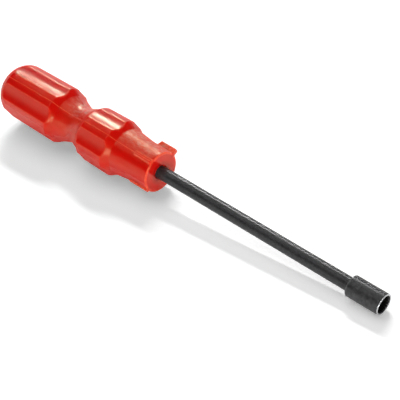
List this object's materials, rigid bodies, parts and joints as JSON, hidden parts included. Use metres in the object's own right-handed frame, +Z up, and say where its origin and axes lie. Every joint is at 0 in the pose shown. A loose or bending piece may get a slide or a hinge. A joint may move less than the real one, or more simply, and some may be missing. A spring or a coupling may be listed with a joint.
{
  "type": "carburetor adjustment tool",
  "caption": "Hand driver with a fluted red plastic handle, a long round black steel shaft and a splined socket tip that turns the adjusting screws of a small engine's carburetor.",
  "frame": {"origin": "middle of the underside of the bounding box, on the table plane that the tool rests on", "axes": "+X along the tool from the butt of the handle to the socket's mouth, +Z up; the tool's own axis dips 3.24 degrees towards the socket, as it lies on its front grip and the socket's mouth"},
  "size_m": [0.1966, 0.0244, 0.0263],
  "materials": {
    "red_plastic": "glossy moulded red plastic",
    "black_oxide_steel": "black oxide, satin",
    "black_oxide_socket": "black oxide, satin"
  },
  "bodies": {
    "root": {"handle": "red_plastic", "shank": "black_oxide_steel", "socket": "black_oxide_socket"}
  },
  "joints": []
}
